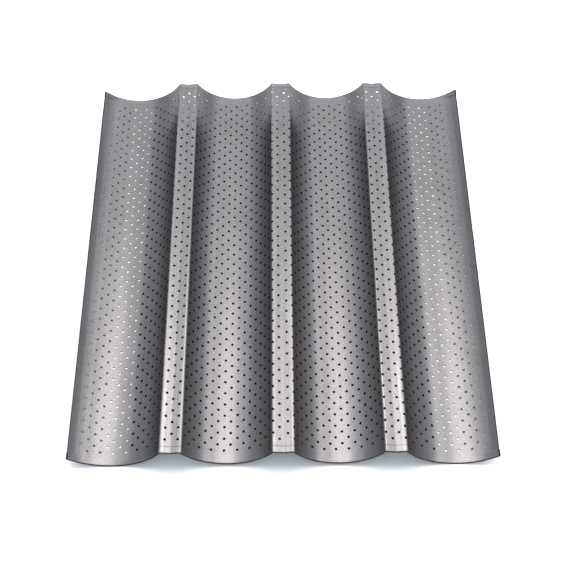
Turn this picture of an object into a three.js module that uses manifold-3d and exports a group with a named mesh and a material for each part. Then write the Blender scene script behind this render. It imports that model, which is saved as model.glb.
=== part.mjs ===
// A four-loaf baguette tray: one corrugated steel sheet with four round-bottomed troughs, three
// flat ridges between them, and a narrow hem folded under along every edge.
// Millimetres. X runs across the troughs, Y along the loaves and +Z up. The origin is on the
// table, under the middle of the tray.

import * as THREE from 'three';
import { mergeVertices } from 'three/addons/utils/BufferGeometryUtils.js';
import Module from 'manifold-3d';

// Driving dimensions. Heights and radii are taken at the middle of the sheet's thickness.
const LENGTH = 378; // along the loaves
const HALF_WIDTH = 165.6; // centre line to an outer edge
const SHEET = 0.6; // steel thickness
const RIDGE_PITCH = 86; // between the centre lines of neighbouring ridges
const RIDGE_WIDTH = 16.4; // between the two bends of a ridge
const RIDGE_RISE = 20.7; // from the bottom of an inner trough up to a ridge's bends
const GROOVE_DEPTH = 1.5; // of the shallow V along the middle of each ridge
const BEND_RADIUS = 1.5; // where a trough's wall turns over into a ridge
const OUTER_RADIUS = 45.3; // the outer troughs are a little wider ...
const OUTER_DROP = 2.4; // ... and deeper than the inner ones, so the tray stands on them
const HEM_WIDTH = 6; // folded under along each edge
const HEM_SLOT = 0.3; // left open between the two layers of a hem
const NODE_GAP = 0.3; // between neighbouring pieces of the model
const FACET = THREE.MathUtils.degToRad(4); // one flat step of a trough's arc
const BEND_STEPS = 5; // flat steps round a bend
const OVERCUT = 1; // how far a cutting solid runs past what it cuts

// Offsets from the middle of the sheet, positive on the loaf's side.
const TOP = SHEET / 2;
const UNDERSIDE = -SHEET / 2;
const SLOT_BOTTOM = UNDERSIDE - HEM_SLOT;
const HEM_BOTTOM = SLOT_BOTTOM - SHEET;

const coating = { color: 0x8f8d91, roughness: 0.42, metalness: 0.85 };
const hemCoating = { color: 0x838186, roughness: 0.46, metalness: 0.85 };

const wasm = await Module();
wasm.setup();

// ---------------------------------------------------------------- the tray's cross-section

// A trough's arc hangs from its centre. Its angles are measured from straight down, and are
// positive towards +X. Both kinds of trough meet the ridges' bends at the same height.
function makeTroughs() {
  const halfChord = (RIDGE_PITCH - RIDGE_WIDTH) / 2;
  const innerRadius = (halfChord ** 2 + RIDGE_RISE ** 2) / (2 * RIDGE_RISE);
  const outerRise = RIDGE_RISE + OUTER_DROP;
  const outerReach = Math.sqrt(2 * OUTER_RADIUS * outerRise - outerRise ** 2);
  const outerX = RIDGE_PITCH + RIDGE_WIDTH / 2 + outerReach;
  // The level facet under each outer trough's hem stands at z = 0.
  const outerZ = (OUTER_RADIUS - HEM_BOTTOM) * Math.cos(FACET / 2);
  const innerZ = outerZ - OUTER_RADIUS + OUTER_DROP + innerRadius;
  const edge = Math.asin((HALF_WIDTH - outerX) / OUTER_RADIUS);
  const inner = { z: innerZ, radius: innerRadius };
  const outer = { z: outerZ, radius: OUTER_RADIUS };
  return [
    { ...outer, x: -outerX, from: -edge },
    { ...inner, x: -RIDGE_PITCH / 2 },
    { ...inner, x: RIDGE_PITCH / 2 },
    { ...outer, x: outerX, to: edge },
  ];
}

const troughs = makeTroughs();
const ridgeZ = troughs[1].z - troughs[1].radius + RIDGE_RISE;

// The bend on one side of a ridge (side is -1 or 1) rounds the corner between the ridge's
// sloping half and the trough on that side. Its centre is one bend radius below the slope and
// touches the trough's circle. A bend's angles are measured from straight up.
function makeBend(ridgeX, side, trough) {
  const halfWidth = RIDGE_WIDTH / 2;
  const slope = Math.atan(GROOVE_DEPTH / halfWidth);
  const along = new THREE.Vector2(Math.cos(slope), Math.sin(slope));
  const up = new THREE.Vector2(-Math.sin(slope), Math.cos(slope));
  const start = new THREE.Vector2(0, ridgeZ - GROOVE_DEPTH).addScaledVector(up, -BEND_RADIUS);
  const centre = new THREE.Vector2(side * (trough.x - ridgeX), trough.z);
  const toStart = start.clone().sub(centre);
  const reach = trough.radius + BEND_RADIUS;
  const middle = toStart.dot(along);
  const distance = -middle - Math.sqrt(middle ** 2 - toStart.lengthSq() + reach ** 2);
  const bend = start.addScaledVector(along, distance);
  const meeting = Math.atan2(centre.x - bend.x, centre.y - bend.y);
  return { x: ridgeX + side * bend.x, z: bend.y, from: -slope, to: meeting, side };
}

const ridges = [-RIDGE_PITCH, 0, RIDGE_PITCH].map((x, i) => {
  const left = makeBend(x, -1, troughs[i]);
  const right = makeBend(x, 1, troughs[i + 1]);
  troughs[i].to = left.to;
  troughs[i + 1].from = -right.to;
  return { x, left, right };
});

// Points of a trough's arc at an offset from the middle of the sheet. The steps fall so that
// one facet lies level at the very bottom.
function troughLine(trough, offset, from = trough.from, to = trough.to) {
  const angles = [from];
  const first = Math.floor(from / FACET + 0.5) + 0.5;
  for (let step = first; step * FACET < to; step++) {
    if (step * FACET > from) angles.push(step * FACET);
  }
  angles.push(to);
  const r = trough.radius - offset;
  return angles.map((a) => new THREE.Vector2(trough.x + r * Math.sin(a), trough.z - r * Math.cos(a)));
}

// Points of one bend, from the ridge's slope down to the trough.
function bendLine(bend, offset) {
  const r = BEND_RADIUS + offset;
  const points = [];
  for (let i = 0; i <= BEND_STEPS; i++) {
    const a = bend.from + ((bend.to - bend.from) * i) / BEND_STEPS;
    points.push(new THREE.Vector2(bend.x + bend.side * r * Math.sin(a), bend.z + r * Math.cos(a)));
  }
  return points;
}

// Points across one ridge: the left bend, the groove and the right bend.
function ridgeLine(ridge, offset) {
  const grooveZ = ridgeZ - GROOVE_DEPTH + offset / Math.cos(ridge.left.from);
  const groove = new THREE.Vector2(ridge.x, grooveZ);
  return [...bendLine(ridge.left, offset).reverse(), groove, ...bendLine(ridge.right, offset)];
}

// Points across the whole tray, from the left edge to the right one. Extra is an angle added
// past both edges. A trough and a ridge share the point where they meet, which is kept once.
function trayLine(offset, extra = 0) {
  const points = [];
  troughs.forEach((trough, i) => {
    const from = i === 0 ? trough.from - extra : trough.from;
    const to = i === troughs.length - 1 ? trough.to + extra : trough.to;
    points.push(...troughLine(trough, offset, from, to));
    if (i < ridges.length) points.push(...ridgeLine(ridges[i], offset).slice(1, -1));
  });
  return points;
}

// ---------------------------------------------------------------- solids

// A strip of sheet between two lines, drawn in the XZ plane and extruded along Y.
function strip(lowLine, highLine, yLow, yHigh) {
  const shape = new THREE.Shape([...lowLine, ...highLine.reverse()]);
  const geometry = new THREE.ExtrudeGeometry(shape, { depth: yHigh - yLow, bevelEnabled: false });
  geometry.rotateX(Math.PI / 2);
  geometry.translate(0, yHigh, 0);
  return geometry;
}

function toManifold(geometry) {
  const bare = geometry.clone();
  bare.deleteAttribute('normal');
  bare.deleteAttribute('uv');
  const merged = mergeVertices(bare);
  return new wasm.Manifold(
    new wasm.Mesh({
      numProp: 3,
      vertProperties: new Float32Array(merged.attributes.position.array),
      triVerts: new Uint32Array(merged.index.array),
    }),
  );
}

// Both layers of a hem are one thick strip with the slot between them cut out.
function cutSlot(thickStrip, slotStrip) {
  const mesh = toManifold(thickStrip).subtract(toManifold(slotStrip)).getMesh();
  const geometry = new THREE.BufferGeometry();
  geometry.setAttribute('position', new THREE.BufferAttribute(mesh.vertProperties, 3));
  geometry.setIndex(new THREE.BufferAttribute(mesh.triVerts, 1));
  geometry.computeVertexNormals();
  return geometry;
}

function piece(name, geometry, finish) {
  const mesh = new THREE.Mesh(geometry, new THREE.MeshStandardMaterial(finish));
  mesh.name = name;
  return mesh;
}

// ---------------------------------------------------------------- the pieces

const sheetEnd = LENGTH / 2 - HEM_WIDTH - NODE_GAP;

// One trough, stopping short of the bends and of the side hem beside it.
function makeTrough(name, trough, i) {
  const gap = NODE_GAP / trough.radius;
  const hem = HEM_WIDTH / trough.radius;
  const from = trough.from + gap + (i === 0 ? hem : 0);
  const to = trough.to - gap - (i === troughs.length - 1 ? hem : 0);
  const low = troughLine(trough, UNDERSIDE, from, to);
  const high = troughLine(trough, TOP, from, to);
  return piece(name, strip(low, high, -sheetEnd, sheetEnd), coating);
}

// One ridge with its two bends and the groove along it.
function makeRidge(name, ridge) {
  const low = ridgeLine(ridge, UNDERSIDE);
  const high = ridgeLine(ridge, TOP);
  return piece(name, strip(low, high, -sheetEnd, sheetEnd), coating);
}

// The hem across one end of the tray (end is -1 at the front and 1 at the back): the sheet
// turns down at its edge and runs back underneath, following every trough and ridge.
function makeEndHem(name, end) {
  const edge = (LENGTH / 2) * end;
  const inside = edge - HEM_WIDTH * end;
  const foldInside = edge - SHEET * end;
  const open = inside - OVERCUT * end;
  const thick = strip(
    trayLine(HEM_BOTTOM), trayLine(TOP), Math.min(edge, inside), Math.max(edge, inside),
  );
  const past = OVERCUT / OUTER_RADIUS;
  const slot = strip(
    trayLine(SLOT_BOTTOM, past),
    trayLine(UNDERSIDE, past),
    Math.min(foldInside, open),
    Math.max(foldInside, open),
  );
  return piece(name, cutSlot(thick, slot), hemCoating);
}

// The hem along one outer edge, between the two end hems.
function makeSideHem(name, trough) {
  const side = Math.sign(trough.x);
  const edge = side > 0 ? trough.to : trough.from;
  const inside = edge - (side * HEM_WIDTH) / trough.radius;
  const foldInside = edge - (side * SHEET) / trough.radius;
  const open = inside - (side * OVERCUT) / trough.radius;
  const band = (low, high, a, b, y) => strip(
    troughLine(trough, low, Math.min(a, b), Math.max(a, b)),
    troughLine(trough, high, Math.min(a, b), Math.max(a, b)),
    -y,
    y,
  );
  const thick = band(HEM_BOTTOM, TOP, edge, inside, sheetEnd);
  const slot = band(SLOT_BOTTOM, UNDERSIDE, foldInside, open, sheetEnd + OVERCUT);
  return piece(name, cutSlot(thick, slot), hemCoating);
}

const tray = new THREE.Group();

const troughNames = [
  'left_outer_trough', 'left_inner_trough', 'right_inner_trough', 'right_outer_trough',
];
troughNames.forEach((name, i) => tray.add(makeTrough(name, troughs[i], i)));

const ridgeNames = ['left_ridge', 'middle_ridge', 'right_ridge'];
ridgeNames.forEach((name, i) => tray.add(makeRidge(name, ridges[i])));

tray.add(makeEndHem('front_hem', -1));
tray.add(makeEndHem('back_hem', 1));
tray.add(makeSideHem('left_side_hem', troughs[0]));
tray.add(makeSideHem('right_side_hem', troughs[3]));

export default tray;
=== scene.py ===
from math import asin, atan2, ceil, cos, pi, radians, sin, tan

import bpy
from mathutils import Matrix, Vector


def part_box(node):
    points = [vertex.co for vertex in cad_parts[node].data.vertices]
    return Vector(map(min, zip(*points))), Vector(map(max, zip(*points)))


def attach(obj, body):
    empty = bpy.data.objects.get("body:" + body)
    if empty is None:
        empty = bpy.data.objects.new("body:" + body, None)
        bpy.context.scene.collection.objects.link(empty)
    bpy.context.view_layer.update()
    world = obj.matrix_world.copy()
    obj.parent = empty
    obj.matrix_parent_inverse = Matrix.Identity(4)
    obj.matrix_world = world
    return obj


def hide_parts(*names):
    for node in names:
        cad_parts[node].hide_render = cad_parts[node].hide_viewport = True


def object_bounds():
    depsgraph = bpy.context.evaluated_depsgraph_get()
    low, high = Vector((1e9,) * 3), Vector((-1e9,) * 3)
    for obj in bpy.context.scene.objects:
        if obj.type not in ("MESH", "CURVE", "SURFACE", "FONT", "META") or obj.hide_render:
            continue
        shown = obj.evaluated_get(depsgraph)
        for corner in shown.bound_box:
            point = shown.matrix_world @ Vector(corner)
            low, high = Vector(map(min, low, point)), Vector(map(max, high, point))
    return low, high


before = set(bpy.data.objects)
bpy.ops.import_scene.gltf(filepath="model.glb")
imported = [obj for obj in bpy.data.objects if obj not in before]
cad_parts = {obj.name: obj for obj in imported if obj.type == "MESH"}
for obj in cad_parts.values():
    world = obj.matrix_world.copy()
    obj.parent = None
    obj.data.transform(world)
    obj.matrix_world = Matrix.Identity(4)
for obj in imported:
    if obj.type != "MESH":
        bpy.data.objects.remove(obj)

# %% [markdown]
# # A perforated baguette tray
#
# The real tray is one steel sheet. The maker punches a flat blank full of small holes, presses
# it into four round-bottomed troughs with grooved ridges between them, folds a narrow hem under
# along every edge, and coats it with a silver-grey non-stick finish. This lesson makes it in the
# same order: measure the design, cut flat blanks, punch them, press them into shape, coat them.
#
# The design is already in the scene as plain solids without holes. Everything here is measured
# from them, in metres, with X across the troughs, Y along the loaves and +Z up.

cad_low, cad_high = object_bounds()
MM = 0.001
print("the design is", [round(side / MM, 1) for side in cad_high - cad_low], "mm")

# %% [markdown]
# ## The camera
#
# The tray is seen from in front and well above with a moderately long lens, so its sides
# converge only a little. The camera stands almost on the centre line.

# %% Camera
CAMERA_PLACE = (-1.9 * MM, -549.2 * MM, 808.8 * MM)
CAMERA_PITCH = 56.88  # degrees below the horizon
CAMERA_YAW = 0.445  # degrees to the right
CAMERA_LENS = 71.36  # mm, on a 36 mm sensor

bpy.ops.object.select_all(action="DESELECT")
bpy.ops.object.camera_add(
    location=CAMERA_PLACE,
    rotation=(radians(90 - CAMERA_PITCH), 0, radians(-CAMERA_YAW)),
)
camera = bpy.context.object
camera.name = "camera"
camera.data.lens = CAMERA_LENS
camera.data.sensor_width = 36
bpy.context.scene.camera = camera
print("camera", tuple(round(v, 3) for v in camera.location))

# %% [markdown]
# ## Measuring the cross-section
#
# Every blank has to follow the same line across the tray, so that line is measured once from
# the design's own solids. The upper surface of each solid gives its points from left to right,
# and three points of an arc give its circle.


# %% The points of a solid's upper surface, and the circle through three points
LEAST_RISE = 0.2  # of the normal of a face that looks upward ...
MOST_LEAN = 0.1  # ... and doesn't look along the tray


def upper_line(node):
    """The (x, z) points of a solid's upper surface, from left to right."""
    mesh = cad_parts[node].data
    heights = {}
    for face in mesh.polygons:
        if face.normal.z > LEAST_RISE and abs(face.normal.y) < MOST_LEAN:
            for index in face.vertices:
                point = mesh.vertices[index].co
                heights[round(point.x, 7)] = point.z
    return [Vector((x, heights[x])) for x in sorted(heights)]


def circle_centre(a, b, c):
    """The centre of the circle through three points."""
    ab, ac = b - a, c - a
    twice_area = 2 * (ab.x * ac.y - ab.y * ac.x)
    x = (ac.y * ab.length_squared - ab.y * ac.length_squared) / twice_area
    y = (ab.x * ac.length_squared - ac.x * ab.length_squared) / twice_area
    return a + Vector((x, y))


trough_names = [
    "left_outer_trough", "left_inner_trough", "right_inner_trough", "right_outer_trough",
]
ridge_names = ["left_ridge", "middle_ridge", "right_ridge"]
trough_centres = {}
trough_radii = {}
for name in trough_names:
    line = upper_line(name)
    low_part = [line[len(line) * quarter // 4] for quarter in (1, 2, 3)]
    trough_centres[name] = circle_centre(*low_part)
    trough_radii[name] = (low_part[0] - trough_centres[name]).length
    print(name, "has a radius of", round(trough_radii[name] / MM, 2), "mm")

# %% [markdown]
# The two outer edges belong to the hems. A hem is two layers of sheet with a slot between
# them, and its lower corner is the widest point of the whole tray, which gives the angle at
# which the outer arc ends.

# %% Where the sheet ends on each side
SHEET = 0.6 * MM
HEM_SLOT = 0.3 * MM
HEM_THICK = 2 * SHEET + HEM_SLOT


def outer_edge(name, side):
    """The upper corner of the tray's edge on one side, -1 for left and 1 for right."""
    centre = trough_centres[name]
    widest = (cad_high if side > 0 else cad_low).x
    angle = asin((widest - centre.x) / (trough_radii[name] + HEM_THICK))
    return centre + trough_radii[name] * Vector((sin(angle), -cos(angle)))


left_edge = outer_edge("left_outer_trough", -1)
right_edge = outer_edge("right_outer_trough", 1)
print("the edges stand", round(left_edge.y / MM, 2), "mm high")

# %% [markdown]
# ## The pressing form
#
# A Curve modifier bends a flat mesh along a curve without stretching it, which is just what a
# press does to sheet metal. The form is one long line of short straight steps: an arc for each
# trough, two small arcs for the bends of each ridge, and one for the groove between them.


# %% Arcs and corners of the form
LONGEST_STEP = 0.25 * MM
WIDEST_STEP = radians(2)


def arc(centre, start, end):
    """Points from start to end round a centre, the short way, with both ends."""
    first, last = start - centre, end - centre
    begin = atan2(first.y, first.x)
    turn = (atan2(last.y, last.x) - begin + pi) % (2 * pi) - pi
    radius = first.length
    steps = max(2, ceil(abs(turn) / min(WIDEST_STEP, LONGEST_STEP / radius)))
    angles = [begin + turn * i / steps for i in range(steps + 1)]
    return [centre + radius * Vector((cos(a), sin(a))) for a in angles]


def rounded_corner(before, corner, after, radius):
    """An arc that rounds the corner between two straight lines."""
    back = (before - corner).normalized()
    ahead = (after - corner).normalized()
    half_angle = back.angle(ahead) / 2
    centre = corner + (back + ahead).normalized() * radius / sin(half_angle)
    reach = radius / tan(half_angle)
    return arc(centre, corner + back * reach, corner + ahead * reach)


# %% The whole form, with the flat position of each place that matters later
GROOVE_RADIUS = 4 * MM
form = [left_edge]
places = {"left_edge": 0.0}


def flat_length(points):
    return sum((b - a).length for a, b in zip(points, points[1:]))


def follow(points, start_name=None, end_name=None):
    """Adds points to the form, and notes where the stretch starts and ends on the flat sheet."""
    if start_name:
        places[start_name] = flat_length([*form, points[0]])
    form.extend(points if points[0] != form[-1] else points[1:])
    if end_name:
        places[end_name] = flat_length(form)


def bend_arc(points):
    """The smooth arc through the points of a faceted bend."""
    centre = circle_centre(points[0], points[len(points) // 2], points[-1])
    return arc(centre, points[0], points[-1])


edge_start = left_edge
for trough_name, ridge_name in zip(trough_names, ridge_names):
    ridge = upper_line(ridge_name)
    middle = len(ridge) // 2
    left_bend, groove, right_bend = ridge[:middle], ridge[middle], ridge[middle + 1 :]
    valley = rounded_corner(left_bend[-1], groove, right_bend[0], GROOVE_RADIUS)
    follow(arc(trough_centres[trough_name], edge_start, left_bend[0]))
    follow(bend_arc(left_bend), f"{ridge_name}_left", f"{ridge_name}_left_top")
    follow(valley, f"{ridge_name}_valley_left", f"{ridge_name}_valley_right")
    follow(bend_arc(right_bend), f"{ridge_name}_right_top", f"{ridge_name}_right")
    edge_start = right_bend[-1]
follow(arc(trough_centres[trough_names[-1]], edge_start, right_edge), end_name="right_edge")
print("the form has", len(form), "points")
print("flat places", {name: round(place / MM, 2) for name, place in places.items()})

# %% [markdown]
# The form becomes a curve object. It is a tool, not a part of the tray, and is thrown away once
# everything is pressed.

# %% The form as a curve
form_data = bpy.data.curves.new("pressing_form", "CURVE")
form_data.dimensions = "3D"
form_data.twist_mode = "Z_UP"
form_data.use_stretch = False
form_data.use_deform_bounds = False
spline = form_data.splines.new("POLY")
spline.points.add(len(form) - 1)
for point, place in zip(spline.points, form):
    point.co = (place.x, 0, place.y, 1)
pressing_form = bpy.data.objects.new("pressing_form", form_data)
bpy.context.collection.objects.link(pressing_form)

# %% [markdown]
# ## The punched holes
#
# The holes stand in straight lines along the tray, and every second line is moved by half a
# step, so each hole sits in the middle of four others. A press makes such a sheet in passes: a
# tool with nine rows of pins runs the length of the sheet, moves over and runs again. It never
# starts twice at quite the same place or runs quite parallel, so each pass has its own small
# slip along the sheet and its own drift across it. That is what gives a stamped sheet its life.

# %% Where the lines of holes run on the flat sheet
HOLE = 2.1 * MM
ROW_STEP = 10 * MM
ROWS = 36
LINE_STEP = 5.07 * MM
LINES_IN_A_PASS = 9
PASSES = (
    # first line (mm), slip along the sheet (mm), drift (mm over the sheet's length)
    (11.1, -0.6, 0.0),
    (56.4, 0.0, 0.4),
    (102.9, -0.4, -0.5),
    (148.6, 0.0, -0.7),
    (195.6, -0.3, -0.9),
    (240.8, 0.2, -0.3),
    (286.7, -0.1, 1.5),
    (332.3, -0.4, -0.6),
)
hole_lines = []  # (flat place, place of the backmost hole, drift per metre) of each line
for first_line, slip, drift in PASSES:
    for _ in range(LINES_IN_A_PASS):
        line = len(hole_lines)
        place = first_line * MM + (line % LINES_IN_A_PASS) * LINE_STEP
        half_step = ROW_STEP / 2 if line % 2 else 0
        backmost = (ROWS - 0.5) * ROW_STEP / 2 - half_step + slip * MM
        hole_lines.append((place, backmost, drift * MM / (ROWS * ROW_STEP)))
print(len(hole_lines), "lines of", ROWS, "holes, so", len(hole_lines) * ROWS, "holes")

# %% [markdown]
# ## Cutting the flat blanks
#
# Each section of the tray gets its own flat blank: a plane of the section's size, scored with
# the Bisect tool wherever the press will bend it. A smooth arc needs a score every few
# millimetres, and a tight bend needs them much closer. The scores also run through the middle
# of the holes, so that the faces round a punched hole stay small and tidy.


# %% Selecting one object, and editing it
def select_only(obj):
    bpy.ops.object.select_all(action="DESELECT")
    obj.select_set(True)
    bpy.context.view_layer.objects.active = obj


def edit(obj):
    """Opens an object in edit mode with all of it selected."""
    select_only(obj)
    bpy.ops.object.mode_set(mode="EDIT")
    bpy.ops.mesh.select_all(action="SELECT")


def leave_edit():
    bpy.ops.object.mode_set(mode="OBJECT")


def apply_modifier(obj, kind, **settings):
    select_only(obj)
    modifier = obj.modifiers.new(kind.lower(), kind)
    for setting, value in settings.items():
        setattr(modifier, setting, value)
    bpy.ops.object.modifier_apply(modifier=modifier.name)


# %% A flat plane with score lines across X and Y
def scored_plane(name, x_range, y_range, x_scores, y_scores):
    (x_low, x_high), (y_low, y_high) = x_range, y_range
    bpy.ops.object.select_all(action="DESELECT")
    bpy.ops.mesh.primitive_plane_add(
        size=1, location=((x_low + x_high) / 2, (y_low + y_high) / 2, 0)
    )
    plane = bpy.context.object
    plane.name = plane.data.name = name
    plane.scale = (x_high - x_low, y_high - y_low, 1)
    bpy.ops.object.transform_apply()
    edit(plane)
    for axis, scores in (((1, 0, 0), x_scores), ((0, 1, 0), y_scores)):
        for score in scores:
            bpy.ops.mesh.select_all(action="SELECT")
            bpy.ops.mesh.bisect(plane_co=Vector(axis) * score, plane_no=axis)
    leave_edit()
    return plane


# %% Where each section starts, ends and is scored
BEND_SCORES = 8
VALLEY_SCORES = 4
CLOSEST_SCORES = 0.35 * MM
END_SCORE = 0.15 * MM  # beside a section's end, so that its shading runs on into the next one


def evenly(start, end, parts):
    return [start + (end - start) * i / parts for i in range(parts + 1)]


def section_range(name):
    """The flat start and end of a trough or a ridge."""
    if name in ridge_names:
        return places[f"{name}_left"], places[f"{name}_right"]
    i = trough_names.index(name)
    start = places[f"{ridge_names[i - 1]}_right"] if i > 0 else places["left_edge"]
    end = places[f"{ridge_names[i]}_left"] if i < len(ridge_names) else places["right_edge"]
    return start, end


def section_scores(name):
    """Flat places of the scores of one section, ends left out."""
    start, end = section_range(name)
    if name in ridge_names:
        scores = [
            *evenly(start, places[f"{name}_left_top"], BEND_SCORES),
            *evenly(places[f"{name}_valley_left"], places[f"{name}_valley_right"], VALLEY_SCORES),
            *evenly(places[f"{name}_right_top"], end, BEND_SCORES),
        ]
    else:
        scores = [start, start + END_SCORE, end - END_SCORE, end]
    centres = [line[0] for line in hole_lines]
    between = [(a + b) / 2 for a, b in zip(centres, centres[1:])]
    for place in centres + between:
        if min(abs(place - score) for score in scores) > CLOSEST_SCORES:
            scores.append(place)
    return sorted(score for score in set(scores) if start < score < end)


# %% [markdown]
# The punch is one short 16-sided cylinder. An Array modifier makes a line of them, and that line
# is copied to each place where the blank is to be punched. A Boolean modifier does the punching.

# %% A line of punches
PUNCH_SIDES = 16
PUNCH_LENGTH = 6 * SHEET  # long enough to pass right through the blank
bpy.ops.object.select_all(action="DESELECT")
bpy.ops.mesh.primitive_cylinder_add(vertices=PUNCH_SIDES, radius=HOLE / 2, depth=PUNCH_LENGTH)
punch_line = bpy.context.object
bpy.ops.object.transform_apply()
apply_modifier(
    punch_line,
    "ARRAY",
    count=ROWS,
    use_relative_offset=False,
    use_constant_offset=True,
    constant_offset_displace=(0, -ROW_STEP, 0),
)


def punches_for(start, end):
    """One mesh of all the punches that reach a stretch of the flat sheet."""
    lines = [line for line in hole_lines if start - HOLE < line[0] < end + HOLE]
    copies = []
    for place, backmost, drift in lines:
        copy = punch_line.copy()
        copy.data = punch_line.data.copy()
        copy.data.transform(Matrix.Translation((0, backmost, 0)))
        copy.data.transform(Matrix.Rotation(-drift, 4, "Z"))
        copy.data.transform(Matrix.Translation((place, 0, 0)))
        bpy.context.collection.objects.link(copy)
        copies.append(copy)
    bpy.ops.object.select_all(action="DESELECT")
    for copy in copies:
        copy.select_set(True)
    bpy.context.view_layer.objects.active = copies[0]
    bpy.ops.object.join()
    return bpy.context.object


# %% Pressing: the flat piece is laid on the form, and its edges are shaded by their angle
SMOOTH_UP_TO = radians(30)


def press(piece):
    apply_modifier(piece, "CURVE", object=pressing_form, deform_axis="POS_X")
    select_only(piece)
    bpy.ops.object.shade_smooth_by_angle(angle=SMOOTH_UP_TO)
    return piece


# %% Every trough and ridge: blank, thickness, holes, press
hem_width = (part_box("front_hem")[1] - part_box("front_hem")[0]).y
sheet_end = cad_high.y - hem_width


def make_section(name):
    start, end = section_range(name)
    if name == trough_names[0]:
        start += hem_width
    if name == trough_names[-1]:
        end -= hem_width
    inner_scores = [score for score in section_scores(name) if start < score < end]
    x_scores = sorted({start + END_SCORE, *inner_scores, end - END_SCORE})
    y_scores = [row * ROW_STEP / 2 for row in range(-ROWS, ROWS + 1)]
    blank = scored_plane(f"{name}_sheet", (start, end), (-sheet_end, sheet_end), x_scores, y_scores)
    apply_modifier(blank, "SOLIDIFY", thickness=SHEET, offset=-1)
    punches = punches_for(start, end)
    apply_modifier(blank, "BOOLEAN", operation="DIFFERENCE", solver="MANIFOLD", object=punches)
    bpy.data.objects.remove(punches)
    press(blank)
    print(blank.name, "has", len(blank.data.polygons), "faces")
    return blank


sections = {name: make_section(name) for name in trough_names + ridge_names}

# %% [markdown]
# ## The hems
#
# A hem is the sheet's own edge turned over and pressed flat underneath, which leaves no sharp
# edge to cut a baker's hand. It is drawn the way a folding machine makes it: the cut edge of a
# flat strip is selected, spun half a turn round the fold, and extruded back underneath. The
# press then bends the finished fold together with the rest.

# %% One fold along the cut edge of a flat strip
FOLD_RADIUS = HEM_THICK / 2
FOLD_STEPS = 8
LAYER_STEPS = 3  # of the layer that lies underneath
FACING = 0.9  # least cosine between a face's normal and the way that it looks


def select_edge_faces(obj, outward):
    """Selects the faces that look outward, and opens the object for editing."""
    select_only(obj)
    bpy.ops.object.mode_set(mode="EDIT")
    bpy.ops.mesh.select_mode(type="FACE")
    bpy.ops.mesh.select_all(action="DESELECT")
    leave_edit()
    for face in obj.data.polygons:
        face.select = face.normal.dot(outward) > FACING
    bpy.ops.object.mode_set(mode="EDIT")


def fold_under(strip, outward):
    corners = [Vector(corner) for corner in strip.bound_box]
    reach = max(corner.dot(outward) for corner in corners)
    centre = outward * reach + Vector((0, 0, -FOLD_RADIUS))
    axis = Vector((0, 0, 1)).cross(outward)
    select_edge_faces(strip, outward)
    bpy.ops.mesh.spin(steps=FOLD_STEPS, angle=-pi, center=centre, axis=axis)
    step = (hem_width - FOLD_RADIUS) / LAYER_STEPS
    for _ in range(LAYER_STEPS):
        bpy.ops.mesh.extrude_region_move(TRANSFORM_OT_translate={"value": -outward * step})
    bpy.ops.mesh.select_all(action="SELECT")
    bpy.ops.mesh.normals_make_consistent(inside=False)
    leave_edit()


# %% Hems across the two ends, scored like the troughs and ridges that they run along
sheet_width = places["right_edge"]
across_scores = sorted(
    {
        place
        for name in trough_names + ridge_names
        for place in (*section_scores(name), *section_range(name))
        if 0 < place < sheet_width
    }
)


def make_hem(name, x_range, y_range, x_scores, outward):
    strip = scored_plane(f"{name}_fold", x_range, y_range, x_scores, [])
    apply_modifier(strip, "SOLIDIFY", thickness=SHEET, offset=-1)
    fold_under(strip, Vector(outward))
    press(strip)
    print(strip.name, "has", len(strip.data.polygons), "faces")
    return strip


fold_y = cad_high.y - FOLD_RADIUS
hems = {
    "front_hem": make_hem(
        "front_hem", (0, sheet_width), (-fold_y, -sheet_end), across_scores, (0, -1, 0)
    ),
    "back_hem": make_hem(
        "back_hem", (0, sheet_width), (sheet_end, fold_y), across_scores, (0, 1, 0)
    ),
}

# %% Hems along the two outer edges, between the end hems
left_strip = (FOLD_RADIUS, hem_width)
right_strip = (sheet_width - hem_width, sheet_width - FOLD_RADIUS)
for name, strip_range, outward in (
    ("left_side_hem", left_strip, (-1, 0, 0)),
    ("right_side_hem", right_strip, (1, 0, 0)),
):
    low, high = strip_range
    scores = sorted((low + END_SCORE, *evenly(low, high, LAYER_STEPS)[1:-1], high - END_SCORE))
    hems[name] = make_hem(name, strip_range, (-sheet_end, sheet_end), scores, outward)

# %% [markdown]
# ## Two strips of paper
#
# The tray stands on the bottoms of its two outer troughs, so the holes there look straight onto
# the white paper below and show it as bright spots. For each outer trough a strip of paper is
# pressed on the same form, a little lower than the sheet. The strips belong to the stage, like
# the floor, and not to the tray.

# %% Strips that follow the underside of the outer troughs between the end hems
PAPER_INWARD = 13.6 * MM  # from the bottom of a trough towards the middle of the tray
PAPER_OUTWARD = 6.5 * MM  # and towards its side
PAPER_GAP = 0.3 * MM  # below the sheet
PAPER_SCORES = 12
outer_centre = trough_centres["left_outer_trough"]
outer_radius = trough_radii["left_outer_trough"]
flat_bottom = outer_radius * asin((outer_centre.x - left_edge.x) / outer_radius)
left_reach = (flat_bottom - PAPER_OUTWARD, flat_bottom + PAPER_INWARD)
right_reach = (sheet_width - left_reach[1], sheet_width - left_reach[0])
paper_strips = []
for name, reach in (("left_strip", left_reach), ("right_strip", right_reach)):
    scores = evenly(*reach, PAPER_SCORES)[1:-1]
    strip = scored_plane(name, reach, (-sheet_end, sheet_end), scores, [])
    strip.data.transform(Matrix.Translation((0, 0, -SHEET - PAPER_GAP)))
    paper_strips.append(press(strip))
print("the troughs' bottoms are", round(flat_bottom / MM, 2), "mm from the edges of the flat sheet")
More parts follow.
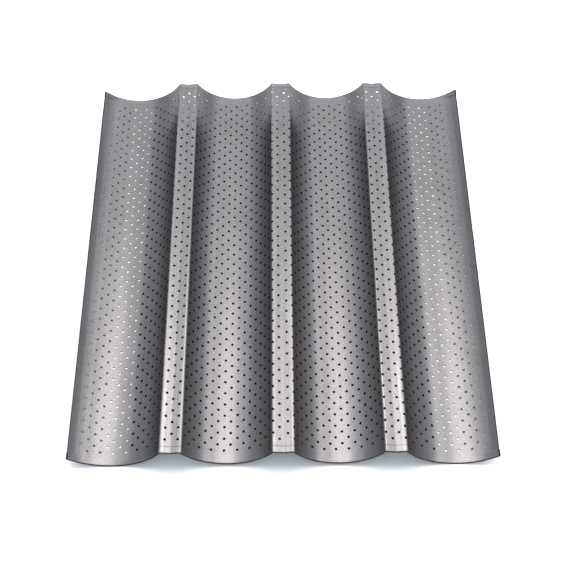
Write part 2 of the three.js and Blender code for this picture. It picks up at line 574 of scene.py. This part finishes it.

# %% [markdown]
# ## Clearing the bench
#
# The punches and the form are tools, so they leave the scene. Each pressed piece is then hung on
# the root body, and its plain solid in the design is hidden.

# %% Tools away, pieces in place
bpy.data.objects.remove(punch_line)
bpy.data.objects.remove(pressing_form)
for node, piece in (*sections.items(), *hems.items()):
    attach(piece, "root")
    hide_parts(node)
    "coated_hem" if node in hems else "coated_sheet"
print(len(sections) + len(hems), "pieces are in place")

# %% [markdown]
# ## Shader maths in plain Python
#
# A material is a net of nodes. To keep its sums readable, a small class wraps a socket so that
# Python's own signs add the Math nodes. Every other node comes from one method.


# %% Wires and nodes
class Wire:
    """An output socket that can stand in a Python sum."""

    def __init__(self, finish, socket):
        self.finish = finish
        self.socket = socket

    def combine(self, operation, first, second):
        return self.finish.node("ShaderNodeMath", {"operation": operation}, [first, second])

    def __add__(self, other):
        return self.combine("ADD", self, other)

    def __sub__(self, other):
        return self.combine("SUBTRACT", self, other)

    def __rsub__(self, other):
        return self.combine("SUBTRACT", other, self)

    def __mul__(self, other):
        return self.combine("MULTIPLY", self, other)

    def __abs__(self):
        return self.finish.node("ShaderNodeMath", {"operation": "ABSOLUTE"}, [self])

    def or_larger(self, other):
        return self.combine("MAXIMUM", self, other)

    __radd__ = __add__


class Finish:
    """A material whose nodes are made one at a time."""

    def __init__(self, name):
        self.material = bpy.data.materials.new(name)
        self.material.use_nodes = True
        self.tree = self.material.node_tree
        self.shader = self.tree.nodes["Principled BSDF"]

    def node(self, kind, settings=None, sockets=(), output=0):
        """Adds a node: its settings first, then the values or links of its sockets."""
        node = self.tree.nodes.new(kind)
        for name, value in (settings or {}).items():
            setattr(node, name, value)
        named = sockets.items() if isinstance(sockets, dict) else enumerate(sockets)
        for name, value in named:
            self.feed(node.inputs[name], value)
        return Wire(self, node.outputs[output])

    def feed(self, socket, value):
        if isinstance(value, Wire):
            self.tree.links.new(value.socket, socket)
        else:
            socket.default_value = value

    def set(self, **sockets):
        """Sets or links the main shader's sockets, with _ for a space in a name."""
        for name, value in sockets.items():
            self.feed(self.shader.inputs[name.replace("_", " ")], value)

    def place(self, scale=(1, 1, 1)):
        """The point on the piece, in metres, stretched along the axes."""
        point = self.node("ShaderNodeTexCoord", output="Object")
        return self.node("ShaderNodeMapping", sockets={"Vector": point, "Scale": scale})

    def noise(self, scale, detail, place, roughness):
        sockets = {"Vector": place, "Scale": scale, "Detail": detail, "Roughness": roughness}
        return self.node("ShaderNodeTexNoise", sockets=sockets)

    def mix(self, share, first, second):
        """A colour between two colours."""
        sockets = {0: share, 6: first, 7: second}
        return self.node("ShaderNodeMix", {"data_type": "RGBA"}, sockets, output=2)

    def step(self, value, start, end):
        """0 below start, 1 above end and a smooth rise between them."""
        settings = {"interpolation_type": "SMOOTHSTEP"}
        return self.node("ShaderNodeMapRange", settings, [value, start, end, 0.0, 1.0])


# %% [markdown]
# ## The coating
#
# The non-stick coating is a thin dark-grey resin full of fine metal flake. It is satin, not
# shiny: it mirrors the light above it as a broad soft band and goes nearly black on the steep
# walls, which mirror only each other. Its looks come from four things, each at its own size:
# sparkling flake well under a millimetre across, the orange peel of a sprayed finish at one or
# two millimetres, soft mottling a few centimetres wide, and faint streaks along the tray, left
# by the rollers. Where trays rub on each other in the stack, along the crowns of the ridges,
# the coating is smoother and brighter.

# %% The coated steel
FLAKE_PER_METRE = 3600
PEEL_PER_METRE = 1400
MOTTLE_PER_METRE = 30
STREAKS_PER_METRE = (420, 6, 420)
CROWN_RUB = 1.3 * MM  # how far down from the crowns the rubbing reaches
DARK_FLAKE = (0.092, 0.088, 0.091, 1)
LIGHT_FLAKE = (0.268, 0.26, 0.262, 1)
RESIN_TINT = (0.18, 0.171, 0.176, 1)
# the dark colour of the painted shade along the hems' edges
EDGE_SHADE = (0.035, 0.034, 0.037, 1)
EDGE_TINT = (0.6, 0.6, 0.6, 1)  # keeps the coating from flashing white at a grazing angle
BUMP_HEIGHT = 0.07 * MM


def coated_steel(name, roughness, grain, edge_shade=None):
    """Grain is how strongly the flake and the orange peel show."""
    finish = Finish(name)
    place = finish.place()
    flake = finish.noise(FLAKE_PER_METRE, 2.0, place, 0.6) - 0.5
    peel = finish.noise(PEEL_PER_METRE, 1.0, place, 0.5) - 0.5
    mottle = finish.noise(MOTTLE_PER_METRE, 4.0, place, 0.55) - 0.5
    streaks = finish.noise(1.0, 3.0, finish.place(STREAKS_PER_METRE), 0.6) - 0.5
    height = finish.node("ShaderNodeSeparateXYZ", sockets=[place], output="Z")
    crown = finish.step(height, cad_high.z - CROWN_RUB, cad_high.z)
    rub = crown * finish.step(streaks, -0.12, 0.2)

    shade = 0.5 + flake * (1.9 * grain) + peel * (0.5 * grain) + mottle * 0.2 + streaks * 0.15
    metal = finish.mix(finish.step(shade + rub * 0.2, 0.0, 1.0), DARK_FLAKE, LIGHT_FLAKE)
    colour = finish.mix(finish.step(mottle, -0.1, 0.14) * 0.6, metal, RESIN_TINT)
    # painted shade along the edges, when a mask for it is given
    if edge_shade:
        colour = finish.mix(edge_shade(finish, place), colour, EDGE_SHADE)
    finish.set(
        Base_Color=colour,
        Metallic=0.95,
        Roughness=roughness + flake * (0.12 * grain) + mottle * 0.06 - rub * 0.06,
        Specular_Tint=EDGE_TINT,
    )
    heights = peel * (0.6 * grain) + flake * (0.5 * grain) + streaks * 0.15
    bump = {"Strength": 0.5, "Distance": BUMP_HEIGHT, "Height": heights}
    finish.set(Normal=finish.node("ShaderNodeBump", sockets=bump))
    return finish.material


sheet_coat = coated_steel("coated_sheet", roughness=0.33, grain=1.0)
print("made the finish", sheet_coat.name)

# %% [markdown]
# On the hems the coating is a little smoother. A dark line of painted shade runs round the very
# nose of the fold, all round the tray, where the rounded edge turns from the light. Across the
# ends of the ridges a second, fainter line of painted shade marks the crease where the layer folded
# under stops.

# %% The coated hems, with painted shade along their edges
# how wide and how strong the painted shade is along the fold's nose and along its crease
SHADED_EDGE_WIDTH = 0.6 * MM
CREASE_SHADE_WIDTH = 0.5 * MM
CREASE_SHADE_SHARE = 0.45
RIDGE_TOP = 2.4 * MM  # how far below the crowns the painted shade of the fold's crease still shows


def hem_edge_shade(finish, place):
    """Painted shade: 1 along the very edge of the tray, less along the crease where the fold under
    stops, 0 elsewhere.
    """
    across, along, height = (
        finish.node("ShaderNodeSeparateXYZ", sockets=[place], output=axis) for axis in "XYZ"
    )
    across, along = abs(across), abs(along)
    # painted shade round the nose of the fold, along the sides and the ends
    side = finish.step(across, right_edge.x - SHADED_EDGE_WIDTH, right_edge.x - SHADED_EDGE_WIDTH / 3)
    end = finish.step(along, cad_high.y - SHADED_EDGE_WIDTH, cad_high.y - SHADED_EDGE_WIDTH / 3)
    nose = side.or_larger(end)
    # a fainter painted shade along the crease where the fold under stops, on the ridges only
    on_ridge = finish.step(height, cad_high.z - RIDGE_TOP, cad_high.z - RIDGE_TOP / 2)
    past_line = finish.step(along, sheet_end + CREASE_SHADE_WIDTH, sheet_end + 2 * CREASE_SHADE_WIDTH)
    crease_shade = on_ridge * (1 - past_line) * CREASE_SHADE_SHARE
    return nose.or_larger(crease_shade)


# the hem finish carries the painted shade of the edge and of the fold's crease
hem_coat = coated_steel("coated_hem", roughness=0.32, grain=0.9, edge_shade=hem_edge_shade)
for pieces, coat in ((sections, sheet_coat), (hems, hem_coat)):
    for piece in pieces.values():
        piece.data.materials.clear()
        piece.data.materials.append(coat)
    print(len(pieces), "pieces have the finish", coat.name)

# %% [markdown]
# ## Floor and light
#
# The tray stands on plain white paper.

# %% Floor
FLOOR_SIZE = 8
FLOOR_DROP = 0.05 * MM  # keeps the floor just clear of the tray

bpy.ops.object.select_all(action="DESELECT")
bpy.ops.mesh.primitive_plane_add(size=FLOOR_SIZE, location=(0, 0, -FLOOR_DROP))
floor = bpy.context.object
floor.name = "floor"
paper = Finish("floor_paper")
paper.set(Base_Color=(0.85, 0.85, 0.85, 1), Roughness=0.9, Specular_IOR_Level=0.1)
floor.data.materials.append(paper.material)
print("the floor is", FLOOR_SIZE, "m wide")

# %% [markdown]
# White paper that shines up through two thousand holes would make them look grey. So a black
# card lies out of sight under the tray as painted shade: it darkens the floor that the holes
# show, beyond the shade that the tray casts. It leaves out the bottoms of the two outer troughs,
# where the paper strips are tucked in.

# %% The black card of painted shade, and the paper strips
CARD_FRONT = 11 * MM  # how far the card stops short of the tray's front edge
CARD_BACK = 34 * MM  # and of its back edge
card_x = abs(outer_centre.x) - PAPER_INWARD
card_y = (cad_low.y + CARD_FRONT, cad_high.y - CARD_BACK)
# a black card under the tray as painted shade, darkening the floor seen through the holes
shade_card = scored_plane("painted_shade_card", (-card_x, card_x), card_y, [], [])
shade_card_finish = Finish("painted_shade_card")
shade_card_finish.set(Base_Color=(0.03, 0.03, 0.03, 1), Roughness=1.0, Specular_IOR_Level=0.0)
shade_card.data.materials.append(shade_card_finish.material)
for strip in paper_strips:
    strip.data.materials.append(paper.material)
print("the card is", [round(side / MM) for side in shade_card.dimensions.xy], "mm")

# %% [markdown]
# One softbox hangs over the tray, a little behind its middle, with dimmer diffusers around it,
# so its mirror image in a trough fades out softly instead of ending at a hard line. Panels to
# the left, to the right and behind fill in the walls.

# %% Softboxes
LIGHT_HEIGHT = 0.9


def softbox(name, place, size, brightness, colour=(1, 1, 1)):
    """A panel that faces down from the light height; place and size are (x, y) in metres."""
    bpy.ops.object.light_add(type="AREA", location=(*place, LIGHT_HEIGHT))
    light = bpy.context.object
    light.name = light.data.name = name
    light.data.shape = "RECTANGLE"
    light.data.size, light.data.size_y = size
    light.data.energy = pi * size[0] * size[1] * brightness
    light.data.color = colour
    return light


WARM = (1, 0.97, 0.92)
softbox("main_softbox", (0, 0.17), (0.7, 0.7), 4.25, WARM)
softbox("left_diffuser", (-0.52, 0.3), (0.33, 0.9), 1.45, WARM)
softbox("right_diffuser", (0.52, 0.3), (0.33, 0.9), 1.5, WARM)
softbox("back_diffuser", (0, 0.8), (0.9, 0.45), 0.7, WARM)
softbox("left_panel", (-0.87, 0.55), (0.35, 0.7), 1.6, WARM)
softbox("right_panel", (0.87, 0.3), (0.35, 1.2), 3.9, WARM)
softbox("back_panel", (0, 1.4), (2.1, 0.35), 3.2)

print(len(bpy.data.lights), "softboxes hang over the tray")

# %% The room
ROOM_COLOUR = (0.88, 0.94, 1.0, 1)  # a cool white, which tints the soft shadows
ROOM_BRIGHTNESS = 1.3
VIEW_GAMMA = 0.8  # a little more contrast than plain

room = bpy.data.worlds.new("room")
room.use_nodes = True
background = room.node_tree.nodes["Background"]
background.inputs["Color"].default_value = ROOM_COLOUR
background.inputs["Strength"].default_value = ROOM_BRIGHTNESS
bpy.context.scene.world = room
bpy.context.scene.view_settings.view_transform = "Standard"
bpy.context.scene.view_settings.gamma = VIEW_GAMMA
